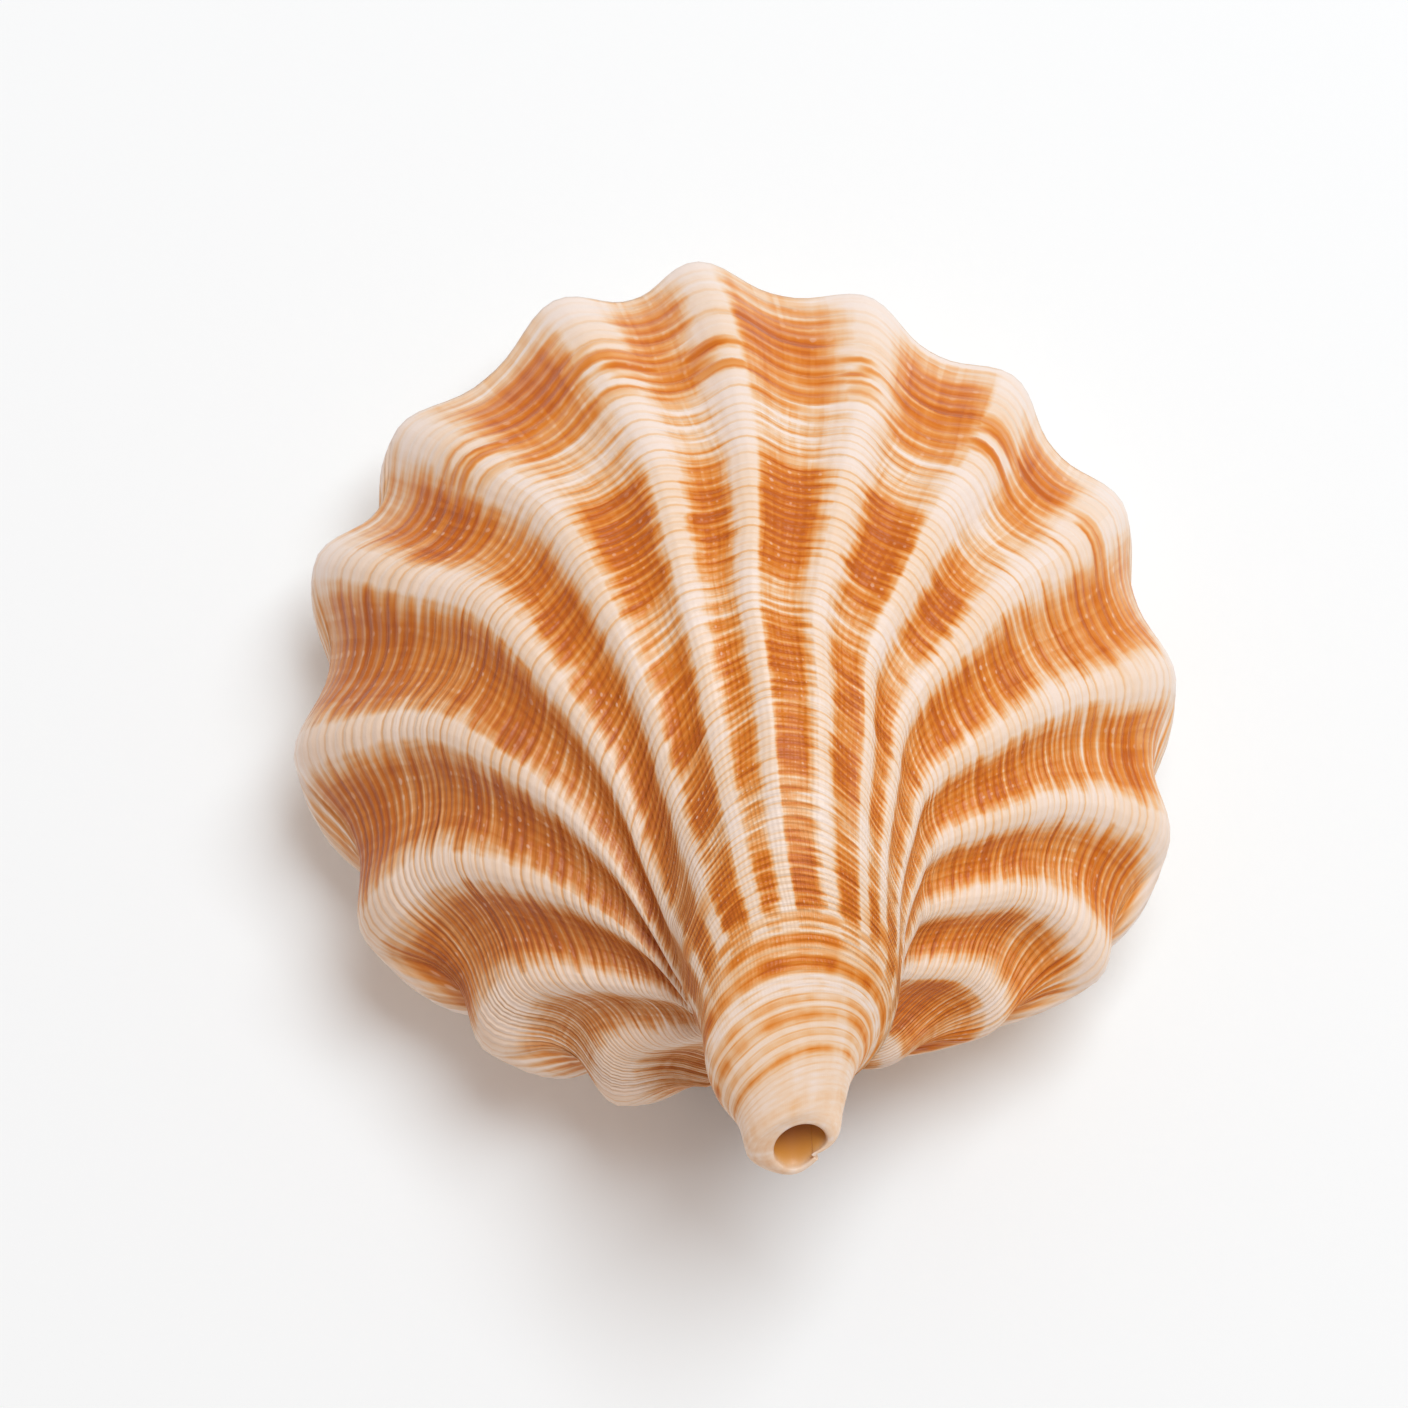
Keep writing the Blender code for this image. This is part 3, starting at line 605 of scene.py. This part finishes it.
finish = {
    # colour by depth of stain, from bare shell to the darkest blocks
    "stain": (
        (0.0, "#F3E2D6"), (0.12, "#F1D6BC"), (0.30, "#EDBF8F"), (0.50, "#E8A05A"), (0.70, "#DF862F"),
        (0.86, "#D67516"), (1.0, "#C4620F")),
    "stainBelow": (1.10, 1.01, 0.22, 1.0),     # by level: under the shoulder the stain fades to cream
    "leftBrownAndShade": "#9C5630",        # the left flank is darker brown: partly its own browner stain, partly painted shade of the side turned from the light
    "leftAngles": (-30.0, -95.0, 0.0, 0.50),
    # colour by how far inside a point lies, over the lips of the mouth and down the hole: the shell's own
    # amber, darker further in as painted shade
    "inside": ((0.0, "#F0D6B4"), (0.25, "#E4B070"), (0.55, "#D08C3A"), (1.0, "#AE5A12")),
    "insideStarts": (0.08, 0.5),
    # between each rib and the next: width of the stripe, its shift (0.5 is none), its strength
    "stripes": (
        (0.60, 0.50, 0.60), (0.60, 0.50, 0.90), (0.66, 0.50, 0.92), (0.70, 0.50, 0.95), (0.56, 0.50, 0.97),
        (0.66, 0.52, 1.00), (0.47, 0.50, 0.90), (0.70, 0.42, 1.00), (0.62, 0.56, 1.00), (0.50, 0.52, 0.92),
        (0.62, 0.50, 0.95), (0.62, 0.50, 0.92), (0.56, 0.50, 0.95), (0.58, 0.50, 0.95), (0.84, 0.50, 0.95),
        (0.86, 0.50, 0.92), (0.70, 0.50, 0.55),
    ),
    "stripeMoved": {"drift": 0.16, "streak": 0.07},
    "stripeFrayed": {"streak": 0.6, "fine": 0.5, "perCord": 1.0, "hair": 0.5},
    "stripeEdge": (-0.86, 0.84),
    "stripeOnSnout": (0.13, 0.26, 0.25, 1.0),  # by level: the stripes fade out on the snout
    "stripeByCrest": (1.0, 0.72),
    # stain of the stripes by level, on the back and on both flanks
    "backBands": (
        (0.00, 0.10), (0.15, 0.22), (0.22, 0.35), (0.245, 0.55), (0.262, 0.88), (0.315, 0.92), (0.35, 0.62),
        (0.38, 0.46), (0.41, 0.50), (0.43, 0.85), (0.46, 1.00), (0.49, 0.80), (0.51, 0.62), (0.53, 0.86),
        (0.57, 0.92), (0.605, 0.80), (0.62, 0.50), (0.655, 0.44), (0.675, 0.80), (0.71, 1.00), (0.75, 1.00),
        (0.79, 0.82), (0.803, 0.34), (0.84, 0.24), (0.87, 0.34), (0.885, 0.68), (0.91, 0.70), (0.935, 0.92),
        (0.965, 0.84), (0.98, 0.40), (1.00, 0.22)),
    "leftBands": (
        (0.00, 0.20), (0.20, 0.45), (0.26, 0.72), (0.31, 0.88), (0.36, 0.70), (0.42, 0.62), (0.47, 0.72),
        (0.52, 0.92), (0.57, 0.84), (0.63, 0.76), (0.70, 0.92), (0.77, 0.86), (0.82, 0.72), (0.865, 0.74),
        (0.89, 0.92), (0.94, 0.90), (0.965, 0.62), (1.00, 0.30)),
    "rightBands": (
        (0.00, 0.15), (0.22, 0.50), (0.26, 0.85), (0.31, 0.82), (0.36, 0.60), (0.41, 0.42), (0.45, 0.62),
        (0.49, 0.78), (0.53, 0.68), (0.58, 0.78), (0.63, 0.72), (0.66, 0.88), (0.70, 0.92), (0.76, 0.86),
        (0.80, 0.70), (0.84, 0.62), (0.88, 0.84), (0.92, 0.82), (0.96, 0.62), (1.00, 0.34)),
    "flanks": (5.0, 10.0),         # ribs where the left flank ends and the right one begins
    "bandsMoved": {"drift": 0.020, "streak": 0.010},
    "bandsStirred": {"streak": 0.50, "fine": 0.42, "perCord": 0.60, "hair": 0.40},
    "ribTint": (0.35, 1.15, 0.0, 0.14),        # by stain of the bands beside the pale ribs
    "tintStirred": {"perCord": 0.9},
    # rings of stain right round the snout by level, over ribs and stripes alike
    "snoutRings": (
        (0.000, 0.17), (0.010, 0.26), (0.018, 0.14), (0.050, 0.12), (0.062, 0.20), (0.068, 0.58),
        (0.072, 0.52), (0.078, 0.14), (0.086, 0.16), (0.092, 0.46), (0.098, 0.12), (0.106, 0.20),
        (0.113, 0.66), (0.121, 0.50), (0.128, 0.12), (0.138, 0.52), (0.145, 0.14), (0.150, 0.05),
        (0.163, 0.02), (0.170, 0.22), (0.175, 0.80), (0.187, 0.88), (0.193, 0.55), (0.198, 0.28),
        (0.206, 0.40), (0.211, 0.80), (0.218, 0.60), (0.225, 0.10), (0.234, 0.18), (0.239, 0.66),
        (0.244, 0.42), (0.252, 0.06)),
    "ringsMoved": {"drift": 0.010},
    "ringsBroken": (-0.16, 0.14, 0.45, 1.15),
    "ringsEnd": (0.262, 0.245),
    # brown bands across all ribs, low on the left and the right flank: levels, angles, amount
    "roots": (
        ((0.29, 0.325, 0.36), (-42.0, -72.0), 0.62),
        ((0.24, 0.275, 0.315), (32.0, 58.0), 0.66)),
    # streaks over the ribs of the upper back, just above the shoulder
    "streakLevels": (0.865, 0.915, 0.962),
    "streakAngles": (-78.0, 10.0, 100.0),
    "streakSides": (0.0, 0.35),
    "streakStirred": {"streak": 0.6, "perCord": 1.2},
    "streakEdge": (-0.14, 0.20),
    "streakAmount": 0.90,
    # tan lines in the grooves between the cords
    "groove": (-0.35, -1.0),
    "lineDepth": (-0.16, 0.20, 0.05, 0.26),
    "lineOnSnout": (0.02, 0.09, 0.15, 1.0),
    "lineByEdge": (0.84, 0.96, 1.0, 0.45),
    "stainStirred": {"hair": 0.14},
    # paler cords and threads in the stripes
    "paleRidge": (0.1, 1.0),
    "paleCord": (0.14, -0.16, 0.0, 0.26),
    "paleThread": (-0.04, 0.16, 0.0, 0.15),
    # painted glints: tiny bright specks where threads cross cords, here and there in the stripes, in place of
    # sparkle off the gloss
    "paintedGlint": "#FBE3CE",
    "paintedGlintStirred": {"speck": 3.2},
    "paintedGlintEdge": (1.6, 2.4),
    "paintedGlintSeen": (-0.12, 0.14, 0.0, 0.42),
    # noise drawn out along the cords: cells to a rib, cells to a cord, detail
    "noises": {
        "patch": (0.9, 0.11, 2.0), "streak": (2.2, 0.55, 2.0), "fine": (11.0, 0.16, 2.0),
        "perCord": (0.8, 0.93, 1.0), "hair": (1.7, 2.3, 1.0), "speck": (7.0, 0.7, 0.0),
        "lean": (0.7, 0.06, 2.0),
    },
    "noiseRoughness": 0.55,
    "fineAtWaist": (0.26, 0.62, 0.30, 1.0),    # by level: the ribs are narrow at the waist
    "driftScale": 105.0,           # blotches about 9.5 mm across
    "grainScale": 2600.0,          # grain about 0.4 mm across
    "noiseDetail": 2.0,            # of both
    "cordSway": {"drift": 0.9},
    "threadLean": {"lean": 0.35},
    "threadsPerRib": 9,
    "cordOnSnout": (0.08, 0.26, 0.18, 1.0),    # by level: cords and threads are faint on the snout
    "cordBold": (-0.22, 0.22, 0.25, 1.25),
    "cordHeight": 0.00006,         # m; near the edge the mesh itself carries the cords
    "threadHeight": 0.30,          # these two as shares of the cords'
    "hairHeight": {"hair": 1.2},
    "grainHeight": {"grain": 0.40},
    "reliefInStripes": (0.0, 1.0, 0.55, 1.0),  # the white ribs are smoother
    "reliefOnSnout": (0.18, 1.0, 0.30, 1.0),
    "roughness": 0.36,
    "roughnessStirred": {"fine": 0.22},
    "ior": 1.53,
    "specular": 0.25,
    "coat": 0.12,
    "coatRoughness": 0.18,
}


def stir(add, noise, amounts, value):
    # the value with its amount of each named noise
    for name, amount in amounts.items():
        value = add("Math", (noise[name], amount, value), operation="MULTIPLY_ADD")
    return value


def window(add, value, low, middle, high):
    # 0 at low, 1 at middle and 0 again at high
    up, down = (add("MapRange", (value, end, middle), interpolation_type="SMOOTHSTEP") for end in (low, high))
    return add("Math", (up, down), operation="MINIMUM")


def makeNoises(add, fact, place):
    # all noises lie about 0
    noise = {}
    for name, (perRib, perCord, detail) in finish["noises"].items():
        x = add("Math", (fact["ribPhase"], perRib), operation="MULTIPLY")
        y = add("Math", (fact["cords"], perCord), operation="MULTIPLY")
        at = add("CombineXYZ", (x, y))
        cells = add("TexNoise", {"Vector": at, "Scale": 1.0, "Detail": detail,
                                 "Roughness": finish["noiseRoughness"]})
        noise[name] = add("Math", (cells, 0.5), operation="SUBTRACT")
    wide = add("MapRange", (fact["level"], *finish["fineAtWaist"]))
    noise["fine"] = add("Math", (noise["fine"], wide), operation="MULTIPLY")
    drift = add("TexNoise", {"Vector": place, "Scale": finish["driftScale"], "Detail": finish["noiseDetail"]})
    noise["drift"] = add("Math", (drift, 0.5), operation="SUBTRACT")
    return noise


def cordPattern(add, fact, noise):
    # cords about 0.7 mm apart, never quite straight, and threads across them
    sway = stir(add, noise, finish["cordSway"], fact["cords"])
    lean = stir(add, noise, finish["threadLean"], fact["ribPhase"])
    for value, count in ((sway, 1), (lean, finish["threadsPerRib"])):
        turn = add("Math", (value, 2 * math.pi * count), operation="MULTIPLY")
        yield add("Math", (turn,), operation="COSINE")


def stripeStain(add, fact, noise):
    # the stripes between the ribs: where they are, and how dark each is along its way
    count = shell["ribCount"]
    share = add("Math", (fact["ribPhase"], count), operation="DIVIDE")
    rows = [(k / count, row) for k, row in enumerate(finish["stripes"])]
    own = add("ValToRGB", (share,), stops=rows, blend="CONSTANT")
    width, shift, strength = (add("SeparateColor", (own,), out=k) for k in range(3))
    moved = add("Math", (fact["ribPhase"], shift), operation="SUBTRACT")
    moved = stir(add, noise, finish["stripeMoved"], moved)
    wave = add("Math", (moved, 2 * math.pi), operation="MULTIPLY")
    wave = add("Math", (wave,), operation="COSINE")           # 1 in the middle of the stripe
    half = add("Math", (width, math.pi), operation="MULTIPLY")
    limit = add("Math", (half,), operation="COSINE")
    over = add("Math", (wave, limit), operation="SUBTRACT")
    over = stir(add, noise, finish["stripeFrayed"], over)
    stripe = add("MapRange", (over, *finish["stripeEdge"]), interpolation_type="SMOOTHSTEP")

    level = stir(add, noise, finish["bandsMoved"], fact["level"])
    back, left, right = (add("ValToRGB", (level,), stops=finish[name])
                         for name in ("backBands", "leftBands", "rightBands"))
    leftEnd, rightStart = finish["flanks"]
    onLeft = add("Math", (fact["ribPhase"], leftEnd), operation="LESS_THAN")
    onRight = add("Math", (fact["ribPhase"], rightStart), operation="GREATER_THAN")
    band = add("Mix", {"Factor": onLeft, 2: back, 3: left}, data_type="FLOAT")
    band = add("Mix", {"Factor": onRight, 2: band, 3: right}, data_type="FLOAT")
    dark = add("Math", (band, strength), operation="MULTIPLY")
    dark = stir(add, noise, finish["bandsStirred"], dark)
    kept = add("MapRange", (fact["level"], *finish["stripeOnSnout"]))
    stripe = add("Math", (stripe, kept), operation="MULTIPLY")
    # no stripe runs over the crest of a rib, where the next one begins
    crest = add("Math", (fact["ribPhase"], 2 * math.pi), operation="MULTIPLY")
    crest = add("Math", (crest,), operation="COSINE")
    beside = add("MapRange", (crest, *finish["stripeByCrest"]), interpolation_type="SMOOTHSTEP")
    stripe = add("Math", (stripe, beside), operation="MULTIPLY")
    stain = add("Math", (dark, stripe), operation="MULTIPLY", use_clamp=True)
    # the dark bands tint the pale ribs between the stripes a little
    tint = stir(add, noise, finish["tintStirred"], band)
    tint = add("MapRange", (tint, *finish["ribTint"]))
    tint = add("Math", (tint, kept), operation="MULTIPLY")
    return add("Math", (stain, tint), operation="MAXIMUM"), stripe


def ringStain(add, fact, noise):
    # stain that crosses ribs and stripes alike: rings on the snout, bands low on both flanks
    level = stir(add, noise, finish["ringsMoved"], fact["level"])
    rings = add("ValToRGB", (level,), stops=finish["snoutRings"])
    broken = add("MapRange", (noise["patch"], *finish["ringsBroken"]))
    rings = add("Math", (rings, broken), operation="MULTIPLY")
    onSnout = add("MapRange", (level, *finish["ringsEnd"]), interpolation_type="SMOOTHSTEP")
    stain = add("Math", (rings, onSnout), operation="MULTIPLY")
    for levels, angles, amount in finish["roots"]:
        band = window(add, level, *levels)
        side = add("MapRange", (fact["turned"], *angles), interpolation_type="SMOOTHSTEP")
        part = add("Math", (band, side), operation="MULTIPLY")
        part = add("Math", (part, amount), operation="MULTIPLY")
        stain = add("Math", (stain, part), operation="MAXIMUM")
    # the streaks above the shoulder
    part = window(add, fact["level"], *finish["streakLevels"])
    side = window(add, fact["turned"], *finish["streakAngles"])
    side = add("MapRange", (side, *finish["streakSides"]))
    rough = stir(add, noise, finish["streakStirred"], noise["patch"])
    rough = add("MapRange", (rough, *finish["streakEdge"]), interpolation_type="SMOOTHSTEP")
    for factor in (side, rough, finish["streakAmount"]):
        part = add("Math", (part, factor), operation="MULTIPLY")
    return add("Math", (stain, part), operation="MAXIMUM")


def cordStain(add, fact, noise, cord, thread, stain, stripe):
    # a tan line in the groove beside each cord, stronger here and there
    line = add("MapRange", (cord, *finish["groove"]), interpolation_type="SMOOTHSTEP")
    for by, name in ((noise["perCord"], "lineDepth"), (fact["level"], "lineOnSnout"),
                     (fact["level"], "lineByEdge")):
        amount = add("MapRange", (by, *finish[name]))
        line = add("Math", (line, amount), operation="MULTIPLY")
    stain = add("Math", (stain, line), operation="ADD")
    stain = stir(add, noise, finish["stainStirred"], stain)
    # in the stripes some cords and threads are paler
    pales = []
    for ridge, by, name in ((cord, "perCord", "paleCord"), (thread, "fine", "paleThread")):
        ridge = add("MapRange", (ridge, *finish["paleRidge"]), interpolation_type="SMOOTHSTEP")
        amount = add("MapRange", (noise[by], *finish[name]))
        pales.append(add("Math", (ridge, amount), operation="MULTIPLY"))
    pale = add("Math", pales, operation="ADD")
    pale = add("Math", (pale, stripe), operation="MULTIPLY")
    stain = add("Math", (stain, pale), operation="SUBTRACT", use_clamp=True)
    below = add("MapRange", (fact["level"], *finish["stainBelow"]), interpolation_type="SMOOTHSTEP")
    return add("Math", (stain, below), operation="MULTIPLY")


def shellFinish():
    material = bpy.data.materials.new("glossyAragoniteShell")
    material.use_nodes = True
    tree = material.node_tree
    add = functools.partial(addNode, tree)
    surface = tree.nodes["Principled BSDF"]
    fact = {name: add("Attribute", attribute_name=name, out=2)
            for name in ("ribPhase", "level", "cords", "turned", "inside")}
    place = add("TexCoord", out=3)
    noise = makeNoises(add, fact, place)
    cord, thread = cordPattern(add, fact, noise)
    # some cords stand out and others are faint, and all are faint on the snout
    onBody = add("MapRange", (fact["level"], *finish["cordOnSnout"]), interpolation_type="SMOOTHSTEP")
    bold = add("MapRange", (noise["perCord"], *finish["cordBold"]))
    bold = add("Math", (bold, onBody), operation="MULTIPLY")

    stripeDepth, stripe = stripeStain(add, fact, noise)
    stain = add("Math", (stripeDepth, ringStain(add, fact, noise)), operation="MAXIMUM")
    stain = cordStain(add, fact, noise, cord, thread, stain, stripe)
    colour = add("ValToRGB", (stain,), stops=finish["stain"])

    # the left flank is darker brown: partly its own browner stain, partly painted shade of the side turned
    # from the light
    brown = add("MapRange", (fact["turned"], *finish["leftAngles"]), interpolation_type="SMOOTHSTEP")
    brown = add("Math", (brown, stain), operation="MULTIPLY")
    # painted glints: bright specks where threads cross cords, in the stripes
    paintedGlint = add("Math", (cord, thread), operation="ADD")
    paintedGlint = stir(add, noise, finish["paintedGlintStirred"], paintedGlint)
    paintedGlint = add("MapRange", (paintedGlint, *finish["paintedGlintEdge"]), interpolation_type="SMOOTHSTEP")
    seen = add("MapRange", (noise["patch"], *finish["paintedGlintSeen"]))
    for factor in (seen, onBody, stripe):
        paintedGlint = add("Math", (paintedGlint, factor), operation="MULTIPLY")
    # inside the mouth and the hole the shell is amber, darker further in: partly its own colour, partly
    # painted shade down the hole
    amberWithDepthShade = add("ValToRGB", (fact["inside"],), stops=finish["inside"])
    within = add("MapRange", (fact["inside"], *finish["insideStarts"]), interpolation_type="SMOOTHSTEP")
    for factor, other in ((brown, linearColour(finish["leftBrownAndShade"])), (paintedGlint, linearColour(finish["paintedGlint"])),
                          (within, amberWithDepthShade)):
        colour = add("Mix", {"Factor": factor, 6: colour, 7: other}, data_type="RGBA", out=2)
    tree.links.new(colour, surface.inputs["Base Color"])

    # relief of the cords, the threads and a fine grain
    noise["grain"] = add("TexNoise", {"Vector": place, "Scale": finish["grainScale"],
                                      "Detail": finish["noiseDetail"]})
    height = add("Math", (cord, bold), operation="MULTIPLY")
    across = add("Math", (thread, onBody), operation="MULTIPLY")
    height = add("Math", (across, finish["threadHeight"], height), operation="MULTIPLY_ADD")
    inStripes = add("MapRange", (stripe, *finish["reliefInStripes"]))
    height = add("Math", (height, inStripes), operation="MULTIPLY")
    height = stir(add, noise, finish["hairHeight"], height)
    height = stir(add, noise, finish["grainHeight"], height)
    calm = add("MapRange", (onBody, *finish["reliefOnSnout"]))
    outside = add("Math", (1.0, within), operation="SUBTRACT")
    for factor in (calm, outside):
        height = add("Math", (height, factor), operation="MULTIPLY")
    normal = add("Bump", {"Height": height, "Strength": 1.0, "Distance": finish["cordHeight"]})
    tree.links.new(normal, surface.inputs["Normal"])
    rough = stir(add, noise, finish["roughnessStirred"], finish["roughness"])
    tree.links.new(rough, surface.inputs["Roughness"])
    surface.inputs["IOR"].default_value = finish["ior"]
    surface.inputs["Specular IOR Level"].default_value = finish["specular"]
    surface.inputs["Coat Weight"].default_value = finish["coat"]
    surface.inputs["Coat Roughness"].default_value = finish["coatRoughness"]
    return material


shellPiece.data.materials.append(shellFinish())
print("finish done")


# floor and light: a pale flat table, one large soft light high on the far right and a warm fill

studio = {
    "floor": "#F8FCFD",            # matt paper
    "floorRoughness": 0.8,
    "floorSpecular": 0.1,
    "floorHalf": 1.5,              # m
    "keyFrom": (0.28, 0.28, 0.91),
    "keyDistance": 1.8,            # m
    "keySize": 1.10,               # m
    "keyPower": 23.2,              # W
    "keyColour": "#EFF9FF",
    "fill": 0.50,
    "fillColour": "#FFECE3",
}


def makeStudio():
    half = studio["floorHalf"]
    corners = [(-half, -half, 0), (half, -half, 0), (half, half, 0), (-half, half, 0)]
    mesh = bpy.data.meshes.new("paleTable")
    mesh.from_pydata(corners, [], [(0, 1, 2, 3)])
    floor = bpy.data.objects.new("paleTable", mesh)
    bpy.context.scene.collection.objects.link(floor)
    material = bpy.data.materials.new("mattPaperSweep")
    material.use_nodes = True
    surface = material.node_tree.nodes["Principled BSDF"]
    surface.inputs["Base Color"].default_value = linearColour(studio["floor"])
    surface.inputs["Roughness"].default_value = studio["floorRoughness"]
    surface.inputs["Specular IOR Level"].default_value = studio["floorSpecular"]
    mesh.materials.append(material)
    lamp = bpy.data.lights.new("softbox", "AREA")
    lamp.shape = "SQUARE"
    lamp.size = studio["keySize"]
    lamp.energy = studio["keyPower"]
    lamp.color = linearColour(studio["keyColour"])[:3]
    item = bpy.data.objects.new("softbox", lamp)
    bpy.context.scene.collection.objects.link(item)
    way = Vector(studio["keyFrom"]).normalized()
    item.location = way * studio["keyDistance"]
    item.rotation_euler = way.to_track_quat("Z", "Y").to_euler()
    world = bpy.data.worlds.new("paleRoom")
    bpy.context.scene.world = world
    world.use_nodes = True
    background = world.node_tree.nodes["Background"]
    background.inputs["Color"].default_value = linearColour(studio["fillColour"])
    background.inputs["Strength"].default_value = studio["fill"]


makeStudio()
print("studio done")
